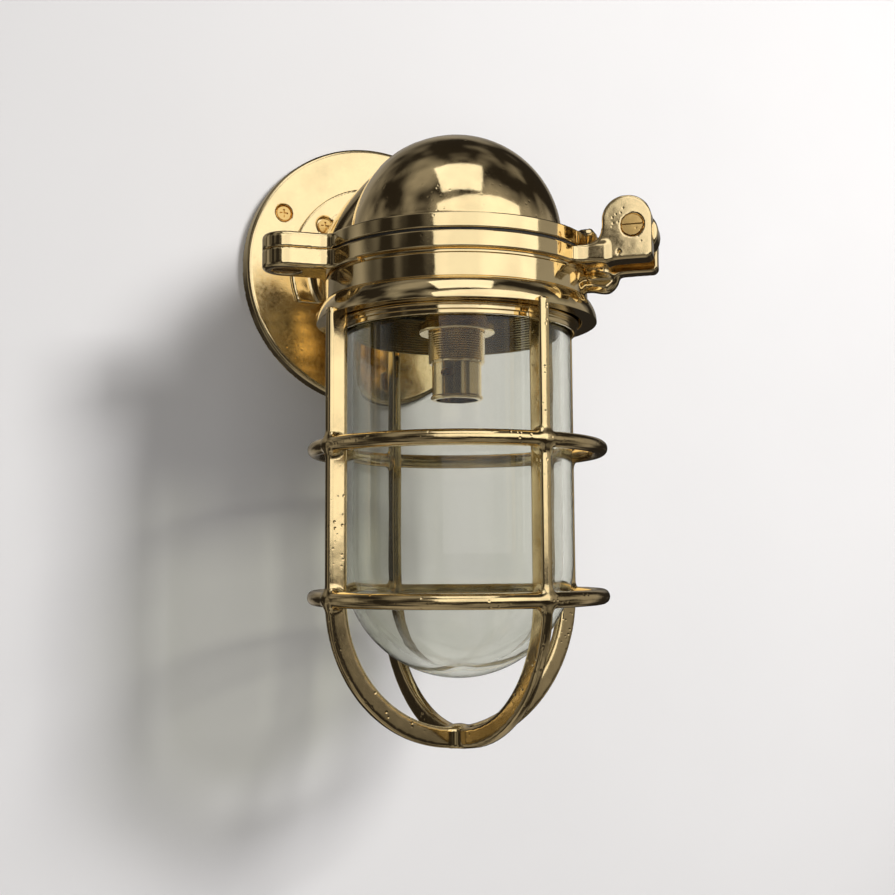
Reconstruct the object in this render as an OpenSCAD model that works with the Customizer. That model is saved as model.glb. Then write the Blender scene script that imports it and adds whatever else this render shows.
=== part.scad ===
// Wall-mounted ship lantern: cast hood on an arm, hinged glass cage, bayonet lampholder.
// Frame: the wall is the plane y = 0, the lantern stands out along -Y, up is +Z.
// The origin is the centre of the wall plate's back face.

/* [Mounting] */
// Distance from the wall to the lantern's axis
reach = 133; // [130:1:140]
// Height of the wall plate's centre above the joint between hood and cage
arm_rise = 21.7; // [20:0.1:23]
// Radius of the wall plate at the wall
plate_r = 82.3; // [80:0.1:90]
// Thickness of the wall plate
plate_t = 9; // [8:0.5:12]
// Pitch circle diameter of the wall screws
wall_pcd = 136; // [132:1:140]
// Length of a wall screw behind the plate's back face
wall_screw_reach = 26; // [15:1:40]

/* [Hood] */
// Outer radius of the dome
dome_r = 56.5; // [55:0.1:57]
// Height of the dome's centre above the joint
dome_z = 11.8; // [11:0.1:13]
// Wall thickness of the hood casting
hood_wall = 5; // [4:0.5:5]
// Radius of the hood's flange and of the cage ring
ring_r = 71.2; // [70:0.1:72]

/* [Cage] */
// Depth of the cage ring
ring_h = 8.2; // [8:0.1:9]
// Radius of the band under the ring
band_r = 69.3; // [68.5:0.1:70]
// Radius of the skirt's lower edge
skirt_r = 74; // [73:0.1:75]
// Radius of the hoops' centre line
hoop_r = 74.4; // [74:0.1:76.5]
// Diameter of a hoop's round section
hoop_d = 7.8; // [7.5:0.1:9]
// Depth of the upper hoop below the joint
hoop_1_z = 99.5; // [95:0.5:105]
// Depth of the lower hoop below the joint
hoop_2_z = 175.5; // [170:0.5:176]
// Thickness of a rib along the hoop
rib_t = 5.6; // [5:0.1:6.5]

/* [Glass] */
// Outer radius of the glass
glass_r = 60; // [59:0.1:60.5]
// Wall thickness of the glass
glass_t = 5.2; // [4:0.1:6]
// Depth of the glass's lowest point below the joint
glass_depth = 217; // [212:1:220]

/* [Hinge and clamp] */
// Direction of the hinge lug around the lantern's axis, from the front
hinge_dir = 51; // [49:1:53]
// Direction of the clamp lug around the lantern's axis, from the front
clamp_dir = -96; // [-100:1:-92]
// Distance from the lantern's axis to the hinge pin
pin_n = 96; // [95:0.5:97]
// Height of the hinge pin above the joint
pin_z = 8.5; // [8:0.1:9]
// Radius of the hinge pin
pin_r = 4; // [3.5:0.1:4.2]

/* [Lampholder] */
// Inner radius of the bayonet shell
socket_r = 11.15; // [11.1:0.01:11.2]
// Depth of the bayonet shell's mouth below the joint
socket_mouth = 73; // [72:0.5:75]
// Outer radius of the shade ring
shade_r = 20.5; // [19:0.5:21]

/* [Hidden] */
$fn = 96;

eps = 0.01;
big = 300;
brass = [0.80, 0.62, 0.28];
dark_brass = [0.62, 0.46, 0.20];
black_rubber = [0.08, 0.08, 0.08];
white_ceramic = [0.92, 0.91, 0.87];
steel = [0.72, 0.72, 0.74];

// Wall plate
plate_front_r = plate_r - 2.5;
gasket_in_r = 24;
gasket_out_r = 58;
gasket_t = 2;
grommet_hole_r = 8;
cable_r = 4.5;
wall_screw_dirs = [30, 150, 270];
screw_head_r = 4.2;
screw_head_h = 2.6;
arm_head_h = 1.8;
screw_sink = 0.7;
screw_recess_r = 5.2;
wall_shank_r = 2.4;
wall_neck_r = 1.7;
wall_hole_r = 2.7;

// Arm: a cone from the wall plate to the dome, hollow for the cable
arm_flange_r = 55;
arm_flange_t = 3;
arm_root_r = 41;
arm_root_h = plate_t + arm_flange_t;
arm_screw_ring = 43.5;
arm_screw_dirs = [40, 140, 220, 320];
arm_shank_r = 2;
arm_end_h = 130;
arm_end_r = 55;
arm_aim_h = 100;
arm_drop = arm_rise - dome_z;
arm_tilt = atan(arm_drop / (arm_aim_h - arm_root_h));
arm_taper = (arm_end_r - arm_root_r) / (arm_end_h - arm_root_h);
belly_r = 75;
belly_tilt = 22.3;
belly_lift = 8.2;

// Hood flange
seal_t = 1.2;
flange_top = 8.7;
flange_fillet = 2.9;
fillet_bite = 0.3;

// Cage neck
groove_r = 67.5;
groove_h = 2.2;
band_z = -22.2;
skirt_z = -33.2;
skirt_root_r = 69.6;
skirt_arc = (pow(skirt_r - skirt_root_r, 2) + pow(skirt_z - band_z, 2)) / (2 * (skirt_r - skirt_root_r));
neck_in_r = 65;
seal_out_r = 70;
shoulder_z = -19;
collar_in_r = 61.5;
skirt_in_r = 66;
skirt_hollow_z = -25;
collar_steps = [[64.6, -34.4], [63.7, -36.6], [62.9, -38.8]];

// Ribs
rib_in_r = 66.5;
rib_out_r = 77;
rib_end_r = rib_out_r + 1;
rib_dirs = [9, 99];
crown_r = 9;
crown_lip = 0.6;

// Glass and its seals
glass_in_r = glass_r - glass_t;
glass_round_z = glass_r - glass_depth;
glass_flange_r = 64.4;
glass_top = -12.5;
glass_flange_z = -17.5;
lock_top = -3;
lock_bottom = -11;
lock_in_r = 56;
thread_gap = 0.1;

// Clamp lug and screw
lug_n = 91;
lug_half_w = 12.5;
lug_z = -9.5;
clamp_r = 4;
clamp_hole_r = 4.08;
clamp_tip = 6;
clamp_socket_r = 4.6;
clamp_socket_top = 7.2;
clamp_recess_r = 7;
clamp_recess_h = 4.8;
clamp_head_r = 6.5;
clamp_head_h = 4.2;

// Hinge
slot_half = 9;
front_ear = 22.5;
rear_ear = 19.5;
ear_in_n = 80.5;
ear_out_n = 105.5;
ear_top = 24;
ear_corner = 9;
slot_end_n = 76;
tongue_half = 8.7;
tongue_r = 11.5;
pin_hole_r = pin_r + 0.02;
tongue_hole_r = pin_r + 0.08;
pin_head_r = 5.2;
pin_head_h = 2.4;
pin_nut_r = 6.6;
pin_nut_h = 5;

// Lampholder
strap_z = 3;
strap_t = 2.5;
strap_len = 100;
strap_w = 18;
boss_x = 43;
boss_r = 5;
nipple_r = 5;
nipple_bore_r = 3.4;
nipple_top = 13;
cap_r = 17;
cap_bottom = -32.5;
cap_top = -16;
shell_r = 13;
shade_top = -32.7;
shade_h = 5;
thread_r = 14.2;
thread_end = -54;
core_r = 11;
core_face = -49;
socket_wall_end = -56;
core_top = -31;
plunger_x = 6;
plunger_r = 2.4;
plunger_tip = -55;
plunger_bore_r = 2.47;
spring_top = -33.4;
window_z = -59.5;
window_w = 7.5;
window_h = 4;
window_dir = -48;
spring_wire = 0.35;
spring_turns = 5;

// Internal wiring
wire_r = 1.3;
wire_sides = 8;
block_x = 24;
block_size = [26, 15, 13];
earth_x = -25;
block_z = strap_z + strap_t;
pole_y = [-4.7, 0, 4.7];

// ---------- helpers ----------

// Lantern axis, z = 0 at the joint between hood and cage
module on_axis() translate([0, -reach, -arm_rise]) children();

// Lantern axis with +X pointing outward at a direction measured from the front
module toward(dir) on_axis() rotate([0, 0, dir - 90]) children();

// Wall axis: z runs out from the wall, y is up
module from_wall() rotate([90, 0, 0]) children();

// Slab between two distances along the local Y axis, drawn in the XZ plane
module slab(y0, y1) translate([0, y1, 0]) rotate([90, 0, 0]) linear_extrude(y1 - y0) children();

// Square given by its corners
module box2(x0, y0, x1, y1) translate([x0, y0]) square([x1 - x0, y1 - y0]);

// Square with round corners
module rounded2(x0, y0, x1, y1, r) {
    box2(x0 + r, y0, x1 - r, y1);
    box2(x0, y0 + r, x1, y1 - r);
    for (x = [x0 + r, x1 - r], y = [y0 + r, y1 - r]) translate([x, y]) circle(r);
}

// Cylinder between two heights
module post(r, z0, z1) translate([0, 0, z0]) cylinder(r = r, h = z1 - z0);

// Ring between two heights
module ring(r_out, r_in, z0, z1) rotate_extrude() box2(r_in, z0, r_out, z1);

function unit(v) = v / norm(v);

// Round wire swept along points
module sweep(path, r, sides) {
    n = len(path);
    dirs = [for (i = [0 : n - 1]) unit(path[min(i + 1, n - 1)] - path[max(i - 1, 0)])];
    points = [for (i = [0 : n - 1])
        let (d = dirs[i], a = unit(cross(d, abs(d.z) > 0.9 ? [1, 0, 0] : [0, 0, 1])), b = cross(d, a))
        for (k = [0 : sides - 1]) path[i] + r * (cos(k * 360 / sides) * a + sin(k * 360 / sides) * b)];
    walls = [for (i = [0 : n - 2]) for (k = [0 : sides - 1])
        let (k2 = (k + 1) % sides, a = i * sides, b = a + sides)
            each [[a + k, a + k2, b + k2], [a + k, b + k2, b + k]]];
    start = [for (k = [sides - 1 : -1 : 0]) k];
    end = [for (k = [0 : sides - 1]) (n - 1) * sides + k];
    polyhedron(points, concat(walls, [start, end]), convexity = 4);
}

// ---------- wall plate ----------

module screw_recess(head_h) {
    post(screw_recess_r, -screw_sink - head_h, 6);
}

module screw_head(head_h) {
    difference() {
        post(screw_head_r, -screw_sink - head_h, -screw_sink);
        for (a = [0, 90]) rotate([0, 0, a]) translate([-2.6, -0.6, -screw_sink - 1.3]) cube([5.2, 1.2, 3]);
    }
}

module at_wall_screws(h) {
    from_wall()
        for (a = wall_screw_dirs)
            translate([wall_pcd / 2 * cos(a), wall_pcd / 2 * sin(a), h]) children();
}

module at_arm_screws(h) {
    from_wall()
        for (a = arm_screw_dirs)
            translate([arm_screw_ring * cos(a), arm_screw_ring * sin(a), h]) children();
}

module wall_plate() {
    color(brass) difference() {
        from_wall() rotate_extrude()
            polygon([
                [0, 0], [plate_r, 0], [plate_r - 0.4, plate_t - 2], [plate_front_r, plate_t], [0, plate_t]
            ]);
        from_wall() ring(gasket_out_r, gasket_in_r, -1, gasket_t);
        from_wall() post(grommet_hole_r, -1, plate_t + 1);
        at_wall_screws(plate_t) screw_recess(screw_head_h);
        at_wall_screws(0) post(wall_hole_r, -1, plate_t);
        at_arm_screws(plate_t) post(arm_shank_r, -5.5, 1);
    }
}

module wall_gasket() {
    color(black_rubber) from_wall() ring(gasket_out_r - 0.1, gasket_in_r + 0.1, 0, gasket_t);
}

module wall_screws() {
    color(brass) {
        at_wall_screws(plate_t) screw_head(screw_head_h);
        at_wall_screws(0) post(wall_shank_r, -wall_screw_reach, 0);
        at_wall_screws(0) post(wall_neck_r, -1, plate_t - screw_sink - screw_head_h);
    }
}

module cable_grommet() {
    color(black_rubber) from_wall() rotate_extrude() difference() {
        union() {
            box2(cable_r, 0.4, grommet_hole_r, plate_t);
            box2(cable_r, plate_t, grommet_hole_r + 3, plate_t + 2.5);
        }
    }
}

// ---------- hood ----------

// Tapered arm with a rising underside, between two distances from the wall
module arm_solid(inset, h0, h1) {
    intersection() {
        from_wall() translate([0, 0, arm_root_h]) rotate([arm_tilt, 0, 0]) translate([0, 0, h0 - arm_root_h])
            cylinder(
                r1 = arm_root_r - inset + (h0 - arm_root_h) * arm_taper,
                r2 = arm_root_r - inset + (h1 - arm_root_h) * arm_taper,
                h = h1 - h0
            );
        from_wall() translate([0, belly_r - arm_root_r + belly_lift, arm_root_h]) rotate([-belly_tilt, 0, 0])
            post(belly_r - inset, -80, 220);
    }
}

// Half section of a ball above a height
module ball2(r, bottom) {
    intersection() {
        translate([0, dome_z]) circle(r);
        box2(0, bottom, dome_r + 1, dome_z + dome_r + 1);
    }
}

// Dome with its flange and fillet, before it is hollowed
module dome_outside() {
    on_axis() rotate_extrude() {
        ball2(dome_r, seal_t);
        box2(0, seal_t, ring_r, flange_top);
        difference() {
            box2(dome_r - 1, flange_top - 1, dome_r + flange_fillet, flange_top + flange_fillet);
            translate([dome_r + flange_fillet, flange_top + flange_fillet]) circle(flange_fillet + fillet_bite);
        }
    }
}

module lug2(n0) {
    translate([lug_n, 0]) circle(lug_half_w);
    box2(n0, -lug_half_w, lug_n, lug_half_w);
}

module hood_lug() {
    toward(clamp_dir) difference() {
        translate([0, 0, 0.4]) linear_extrude(flange_top - 0.4) lug2(64);
        translate([0, 0, -1]) cylinder(r = ring_r - 1, h = seal_t + 1);
        translate([lug_n, 0, 0]) post(clamp_socket_r, -1, clamp_socket_top);
    }
}

module hinge_tongue() {
    toward(hinge_dir) difference() {
        slab(-tongue_half, tongue_half) {
            translate([pin_n, pin_z]) circle(tongue_r);
            polygon([
                [54, seal_t], [72, seal_t], [pin_n - 3, pin_z - 11], [pin_n - 3, pin_z + 11.1], [54, 13]
            ]);
        }
        translate([pin_n, 0, pin_z]) rotate([90, 0, 0]) cylinder(r = tongue_hole_r, h = 40, center = true);
        translate([60, -20, -10]) cube([slot_end_n + 1 - 60, 40, 10 + seal_t]);
    }
}

module at_bosses() {
    on_axis() for (s = [-1, 1]) translate([s * boss_x, 0, 0]) children();
}

module hood_bosses() {
    intersection() {
        on_axis() rotate_extrude() ball2(dome_r - 1, strap_z + strap_t);
        at_bosses() post(boss_r, strap_z + strap_t, 60);
    }
}

module hood_cavity() {
    arm_solid(hood_wall, -10, arm_end_h + 2);
    on_axis() rotate_extrude() ball2(dome_r - hood_wall, -2);
}

module hood() {
    color(brass) difference() {
        union() {
            from_wall() post(arm_flange_r, plate_t, arm_root_h);
            intersection() {
                arm_solid(0, -5, arm_end_h);
                from_wall() post(big, plate_t, big);
            }
            dome_outside();
            hood_lug();
            hinge_tongue();
        }
        difference() {
            hood_cavity();
            hood_bosses();
        }
        at_arm_screws(arm_root_h) screw_recess(arm_head_h);
        at_arm_screws(arm_root_h) post(arm_shank_r + 0.2, -6, 1);
        at_bosses() post(1.6, -1, strap_z + strap_t + 9);
    }
}

module arm_screws() {
    color(brass) {
        at_arm_screws(arm_root_h) screw_head(arm_head_h);
        at_arm_screws(plate_t) post(arm_shank_r, -5.4, arm_flange_t - screw_sink - arm_head_h);
    }
}

module hood_gasket() {
    color(black_rubber) on_axis() ring(seal_out_r, neck_in_r + 0.5, 0.2, seal_t);
}

// ---------- lampholder ----------

module holder_bracket() {
    color(dark_brass) on_axis() difference() {
        translate([-strap_len / 2, -strap_w / 2, strap_z]) cube([strap_len, strap_w, strap_t]);
        post(nipple_r + 0.1, -20, 20);
        for (s = [-1, 1]) translate([s * boss_x, 0, 0]) post(2.2, -1, 10);
        translate([earth_x, 0, 0]) post(1.6, -1, 10);
    }
}

module bracket_screws() {
    color(steel) at_bosses() difference() {
        union() {
            post(1.55, strap_z, strap_z + strap_t + 8);
            post(3.5, strap_z - 2.2, strap_z);
        }
        translate([-4, -0.5, strap_z - 3]) cube([8, 1, 1.9]);
    }
}

module holder_locknut() {
    color(dark_brass) on_axis() difference() {
        translate([0, 0, strap_z + strap_t]) cylinder(r = 8, h = 3, $fn = 6);
        post(nipple_r, 0, 20);
    }
}

module holder_cap() {
    color(brass) on_axis() rotate_extrude() difference() {
        union() {
            box2(nipple_bore_r, cap_top - 2, nipple_r, nipple_top);
            box2(0, cap_bottom, cap_r, cap_top - 7);
            intersection() {
                translate([cap_r - 7, cap_top - 7]) circle(7);
                box2(cap_r - 7, cap_top - 8, cap_r, cap_top);
            }
            box2(0, cap_top - 8, cap_r - 7, cap_top);
            box2(nipple_r - eps, cap_top, 8, strap_z);
        }
        box2(0, cap_bottom - 1, cap_r - 1.5, cap_top - 8);
        box2(0, cap_bottom - 1, nipple_bore_r, nipple_top + 1);
    }
}

module holder_shell() {
    color(brass) on_axis() difference() {
        rotate_extrude() difference() {
            union() {
                box2(0, -socket_mouth, shell_r, cap_bottom + 2);
                box2(0, thread_end, thread_r, cap_bottom + 2);
                box2(0, cap_bottom, cap_r - 1.6, cap_bottom + 2);
                translate([shell_r - 0.4, -socket_mouth + 1.2]) circle(1.2);
            }
            box2(0, -socket_mouth - 2, socket_r, socket_wall_end);
            box2(0, socket_wall_end - eps, socket_r + 0.45, 0);
        }
        for (s = [0, 180]) rotate([0, 0, window_dir - 90 + s]) {
            slab_window(shell_r);
            translate([socket_r - 3, window_w / 2 - 3.2, -socket_mouth - 2])
                cube([3.9, 3.2, socket_mouth + 2 + window_z]);
        }
    }
}

// Long round-ended window through the bayonet shell
module slab_window(n) {
    rotate([0, 90, 0]) linear_extrude(n + 5)
        for (y = [-1, 1]) translate([-window_z, y * (window_w - window_h) / 2]) circle(window_h / 2);
    translate([0, -(window_w - window_h) / 2, window_z - window_h / 2])
        cube([n + 5, window_w - window_h, window_h]);
}

module shade_ring() {
    color(brass) on_axis() rotate_extrude() {
        rounded2(thread_r + 0.05, shade_top - shade_h, shade_r, shade_top - 0.3, 1.2);
    }
}

module holder_core() {
    color(white_ceramic) on_axis() difference() {
        union() {
            post(core_r, core_face, cap_bottom + 2);
            post(cap_r - 2, cap_bottom + 2, cap_bottom + 4);
        }
        for (s = [-1, 1]) translate([s * plunger_x, 0, 0]) {
            post(plunger_bore_r, core_face - 1, core_top - 2);
            post(1, core_face - 1, core_top + 10);
        }
    }
}

module holder_terminals() {
    color(dark_brass) on_axis() for (s = [-1, 1]) translate([s * plunger_x, 0, 0]) difference() {
        union() {
            translate([-2.4, -5, cap_bottom + 4]) cube([4.8, 10, 3.6]);
            post(0.9, spring_top, cap_bottom + 4);
        }
        translate([0, 2.5, 0]) post(1, cap_bottom + 5, 0);
    }
}

module plunger(s) {
    color(dark_brass) on_axis() translate([s * plunger_x, 0, 0]) {
        post(plunger_r, plunger_tip + 1, plunger_tip + 12);
        post(plunger_r - 0.8, plunger_tip, plunger_tip + 1);
    }
}

module spring(s) {
    z0 = plunger_tip + 12.1;
    z1 = spring_top - 0.1;
    r = plunger_r - spring_wire - 0.25;
    steps = 8 * spring_turns;
    color(steel) on_axis() translate([s * plunger_x, 0, 0])
        sweep([for (i = [0 : steps]) let (a = 45 * i)
            [r * cos(a), r * sin(a), z0 + spring_wire + (z1 - z0 - 2 * spring_wire) * i / steps]],
            spring_wire, 4);
}

module plunger_left() plunger(-1);
module plunger_right() plunger(1);
module spring_left() spring(-1);
module spring_right() spring(1);

// ---------- wiring ----------

module terminal_block() {
    color(white_ceramic) on_axis() translate([block_x, 0, block_z]) difference() {
        translate([-block_size.x / 2, -block_size.y / 2, 0]) cube(block_size);
        for (y = pole_y) translate([0, y, 6]) rotate([0, 90, 0])
            cylinder(r = 1.6, h = block_size.x + 2, center = true);
        for (y = pole_y, x = [-7, 7]) translate([x, y, 0]) post(1.7, 7, 20);
    }
}

module block_screws() {
    color(steel) on_axis() translate([block_x, 0, block_z])
        for (y = pole_y, x = [-7, 7]) translate([x, y, 0]) difference() {
            post(1.55, 7.8, 12.2);
            translate([-2, -0.3, 11.2]) cube([4, 0.6, 2]);
        }
}

module earth_screw() {
    color(steel) on_axis() translate([earth_x, 0, 0]) difference() {
        union() {
            post(1.55, strap_z - 1, block_z);
            post(4.5, block_z, block_z + 0.8);
            post(3.4, block_z + 2.2, block_z + 4.6);
            post(1.55, block_z, block_z + 2.4);
        }
        translate([-4, -0.5, block_z + 3.4]) cube([8, 1, 2]);
    }
}

// A wire that leaves the nipple and bends over into one pole of the block
function core_wire(y0, y) = [
    [0.3, y0, -24], [0.3, y0, -8], [0.3, y0, 6], [0.3, y0, nipple_top + 2], [0.8, y0, 20],
    [2.8, (y0 + y) / 2, 23.5], [5.6, y, 22.5], [7.6, y, 18], [8.7, y, 14], [10.5, y, block_z + 6.1],
    [16, y, block_z + 6]
];

module wire_live() {
    color([0.45, 0.25, 0.12]) on_axis() sweep(core_wire(-1.65, pole_y[0]), wire_r, wire_sides);
}

module wire_neutral() {
    color([0.15, 0.35, 0.65]) on_axis() sweep(core_wire(1.65, pole_y[1]), wire_r, wire_sides);
}

module wire_earth() {
    path = [
        [earth_x - 1, 5.2, block_z + 2.2], [earth_x + 4, 5.6, block_z + 2.2], [earth_x + 9, 7.5, block_z + 3],
        [-9, 11, 10.5], [-1, 12.3, 12.5], [6, 9.8, 13.2], [8.8, 6, 12.1], [10.5, pole_y[2], block_z + 6.05],
        [16, pole_y[2], block_z + 6]
    ];
    color([0.35, 0.6, 0.2]) on_axis() sweep(path, wire_r, wire_sides);
}

// ---------- cage ----------

module neck_profile() {
    difference() {
        union() {
            box2(collar_in_r, skirt_z, groove_r, 0);
            rounded2(neck_in_r, -ring_h, ring_r, 0, 1.2);
            box2(neck_in_r, band_z, band_r, -ring_h - groove_h);
            intersection() {
                translate([skirt_r - skirt_arc, skirt_z]) circle(skirt_arc);
                box2(groove_r - 2, skirt_z, skirt_r + 1, band_z);
            }
            for (s = collar_steps) box2(collar_in_r, s[1], s[0], skirt_hollow_z);
        }
        box2(0, shoulder_z, neck_in_r, 1);
        box2(collar_steps[0][0], skirt_z - 1, skirt_in_r, skirt_hollow_z);
    }
}

// Two opposite ribs, joined under the glass
module rib_arch() {
    slab(-rib_t / 2, rib_t / 2) {
        for (s = [-1, 1]) scale([s, 1]) box2(rib_in_r, -hoop_2_z, rib_out_r, skirt_z + 2);
        translate([0, -hoop_2_z]) intersection() {
            difference() {
                circle(rib_end_r);
                circle(rib_in_r);
            }
            box2(-rib_end_r, -rib_end_r, rib_end_r, 0);
        }
    }
}

module clamp_lug() {
    toward(clamp_dir) translate([0, 0, lug_z]) linear_extrude(-lug_z) difference() {
        lug2(67);
        circle(neck_in_r + 1);
    }
}

module ear2() {
    rounded2(ear_in_n, -ring_h, ear_out_n, ear_top, ear_corner);
    box2(ear_in_n, -ring_h, ear_out_n - 3, pin_z);
    translate([ear_out_n - 3, -ring_h + 3]) circle(3);
    box2(ear_out_n - 6, -ring_h + 3, ear_out_n, pin_z);
}

module hinge_ears() {
    toward(hinge_dir) {
        slab(-front_ear, -slot_half) ear2();
        slab(slot_half, rear_ear) ear2();
        difference() {
            slab(-front_ear, rear_ear) box2(64, -ring_h, ear_in_n + 1, 0);
            translate([0, 0, -ring_h - 1])
                linear_extrude(ring_h + 2) box2(slot_end_n, -slot_half, 120, slot_half);
            post(neck_in_r + 1, -20, 10);
        }
        slab(slot_half, rear_ear) {
            translate([78, -ring_h - 2]) circle(7);
            box2(66, -ring_h - 9, 78, -ring_h);
        }
    }
}

module cage() {
    color(brass) difference() {
        union() {
            on_axis() rotate_extrude() neck_profile();
            for (a = rib_dirs) toward(a) rib_arch();
            for (z = [hoop_1_z, hoop_2_z]) on_axis() translate([0, 0, -z])
                rotate_extrude() translate([hoop_r, 0]) circle(hoop_d / 2);
            on_axis() translate([0, 0, -hoop_2_z]) rotate_extrude() intersection() {
                rounded2(-crown_r, -rib_end_r - crown_lip, crown_r, -rib_in_r + crown_lip, 3);
                box2(0, -rib_end_r - 2, crown_r + 1, 0);
            }
            clamp_lug();
            hinge_ears();
        }
        toward(clamp_dir) translate([lug_n, 0, 0]) {
            post(clamp_hole_r, lug_z - 1, 1);
            post(clamp_recess_r, lug_z - 1, lug_z + clamp_recess_h);
        }
        toward(hinge_dir) translate([pin_n, 0, pin_z]) rotate([90, 0, 0]) {
            cylinder(r = pin_hole_r, h = 80, center = true);
            post(pin_head_r + 0.2, front_ear - pin_head_h, front_ear + 5);
        }
    }
}

// ---------- glass ----------

module glass() {
    color([0.80, 0.90, 0.86, 0.35]) on_axis() rotate_extrude() difference() {
        union() {
            box2(glass_in_r, glass_round_z, glass_r, glass_top);
            box2(glass_in_r, glass_flange_z, glass_flange_r, glass_top);
            intersection() {
                translate([0, glass_round_z]) circle(glass_r);
                box2(0, glass_round_z - glass_r, glass_r, glass_round_z);
            }
        }
        translate([0, glass_round_z]) circle(glass_in_r);
        box2(0, glass_round_z, glass_in_r, 0);
    }
}

module glass_lower_seal() {
    color(black_rubber) on_axis() ring(neck_in_r - 0.2, collar_in_r, shoulder_z, glass_flange_z);
}

module glass_upper_seal() {
    color(black_rubber) on_axis() ring(neck_in_r - 0.4, glass_in_r + 2, glass_top, lock_bottom);
}

module glass_lock_ring() {
    color(brass) on_axis() difference() {
        ring(neck_in_r - thread_gap, lock_in_r, lock_bottom, lock_top);
        for (a = [0, 90]) rotate([0, 0, a]) translate([-80, -3, lock_top - 3]) cube([160, 6, 5]);
    }
}

// ---------- hinge pin and clamp screw ----------

module hinge_pin() {
    color(brass) toward(hinge_dir) translate([pin_n, 0, pin_z]) rotate([90, 0, 0]) difference() {
        union() {
            post(pin_r, -rear_ear - pin_nut_h + 1, front_ear);
            post(pin_head_r, front_ear - pin_head_h, front_ear + 0.6);
        }
        translate([-pin_head_r - 1, -0.6, front_ear - 0.6]) cube([2 * pin_head_r + 2, 1.2, 3]);
    }
}

module hinge_nut() {
    color(brass) toward(hinge_dir) translate([pin_n, rear_ear, pin_z]) rotate([-90, 0, 0]) difference() {
        intersection() {
            cylinder(r = pin_nut_r, h = pin_nut_h + 2, $fn = 6);
            translate([0, 0, -3]) sphere(pin_nut_h + 4);
        }
        post(pin_r, -1, pin_nut_h - 1 + eps);
    }
}

module clamp_screw() {
    color(dark_brass) toward(clamp_dir) translate([lug_n, 0, 0]) difference() {
        union() {
            post(clamp_r, lug_z + clamp_recess_h, clamp_tip);
            post(clamp_head_r, lug_z + clamp_recess_h - clamp_head_h, lug_z + clamp_recess_h);
        }
        translate([-8, -0.8, lug_z]) cube([16, 1.6, 2.4]);
    }
}

wall_plate();
wall_gasket();
wall_screws();
cable_grommet();
hood();
arm_screws();
hood_gasket();
holder_bracket();
bracket_screws();
holder_locknut();
holder_cap();
holder_shell();
shade_ring();
holder_core();
holder_terminals();
plunger_left();
plunger_right();
spring_left();
spring_right();
terminal_block();
block_screws();
earth_screw();
wire_live();
wire_neutral();
wire_earth();
cage();
glass();
glass_lower_seal();
glass_upper_seal();
glass_lock_ring();
hinge_pin();
hinge_nut();
clamp_screw();
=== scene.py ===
"""Looks of the wall-mounted ship lantern: polished cast brass, thick glass, bayonet lampholder.

Shapes are worked out in millimetres in the lantern's own frame (z = 0 at the joint between
hood and cage, on the lantern's axis) and placed in the row frame in metres.
"""

import math

import bpy
import numpy as np
import openvdb
from mathutils import Matrix, Vector


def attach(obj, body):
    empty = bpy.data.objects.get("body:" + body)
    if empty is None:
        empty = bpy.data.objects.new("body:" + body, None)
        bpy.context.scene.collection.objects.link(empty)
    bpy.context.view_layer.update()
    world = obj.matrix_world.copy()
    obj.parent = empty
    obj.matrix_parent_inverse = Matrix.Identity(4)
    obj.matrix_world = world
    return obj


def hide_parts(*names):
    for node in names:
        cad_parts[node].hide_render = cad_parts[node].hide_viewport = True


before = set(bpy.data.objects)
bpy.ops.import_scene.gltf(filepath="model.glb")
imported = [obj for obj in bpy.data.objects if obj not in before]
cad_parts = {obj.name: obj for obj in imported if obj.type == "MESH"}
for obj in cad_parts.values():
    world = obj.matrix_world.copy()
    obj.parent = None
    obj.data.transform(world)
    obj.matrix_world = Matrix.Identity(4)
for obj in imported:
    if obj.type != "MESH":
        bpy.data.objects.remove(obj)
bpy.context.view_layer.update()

MM = 0.001
SEGMENTS = 288

# Sizes are in millimetres and shared with the CAD frame. The joint between hood and cage lies
# REACH from the wall and RISE below the centre of the wall plate.
REACH = 133.0
RISE = 21.7
HAIR = 0.05  # how far a cast face stays inside the CAD's own face
HINGE_DIR = 51.0
CLAMP_DIR = -96.0

# Hood and arm
DOME_R = 56.5
DOME_Z = 11.8
HOOD_WALL = 5.0
SEAL_T = 1.2
FLANGE_TOP = 8.7
FLANGE_IN_R = 56.0
ARM_FLANGE_R, ARM_FLANGE_T = 55.0, 3.0
ARM_ROOT_R = 41.4
ARM_TAPER = 0.165
ARM_LENGTH = 121.0
BELLY_R = 75.0
BELLY_TILT = 22.3
BELLY_V = 42.2
BOSS_X, BOSS_R, BOSS_BOTTOM = 43.0, 5.0, 5.5
TONGUE_HALF, TONGUE_R = 8.6, 11.4
LUG_HOLE_R, LUG_HOLE_TOP = 4.6, 7.2

# Wall plate and its screws
PLATE_R, PLATE_T = 82.3, 9.0
PLATE_LEAN = 0.9
SCREW_SINK_R = 5.3
WALL_SCREW_RING, WALL_SCREW_DIRS = 68.0, (30, 150, 270)
WALL_SCREW_SINK, WALL_HOLE_R = 3.3, 2.7
ARM_SCREW_RING, ARM_SCREW_DIRS = 43.5, (40, 140, 220, 320)
ARM_ROOT_H = PLATE_T + ARM_FLANGE_T
BACK_SEAL_IN_R, BACK_SEAL_OUT_R, BACK_SEAL_T = 24.0, 58.0, 2.0
CABLE_HOLE_R = 8.0

# Cage: ring, band and skirt
RING_R = 71.2
RING_H = 8.2
NECK_IN_R = 65.0
GROOVE_R, GROOVE_Z = 67.5, -10.4
BAND_R = 69.3
BAND_Z = -22.2
SKIRT_TOP_R = 69.6
SKIRT_R = 74.0
SKIRT_Z = -33.2
COLLAR_IN_R, SHOULDER_Z = 61.6, -19.0
THREAD_R, THREAD_DEPTH, THREAD_PITCH = 61.55, 0.4, 1.4
THREAD_FROM, THREAD_TO = -38.2, -20.0

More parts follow.
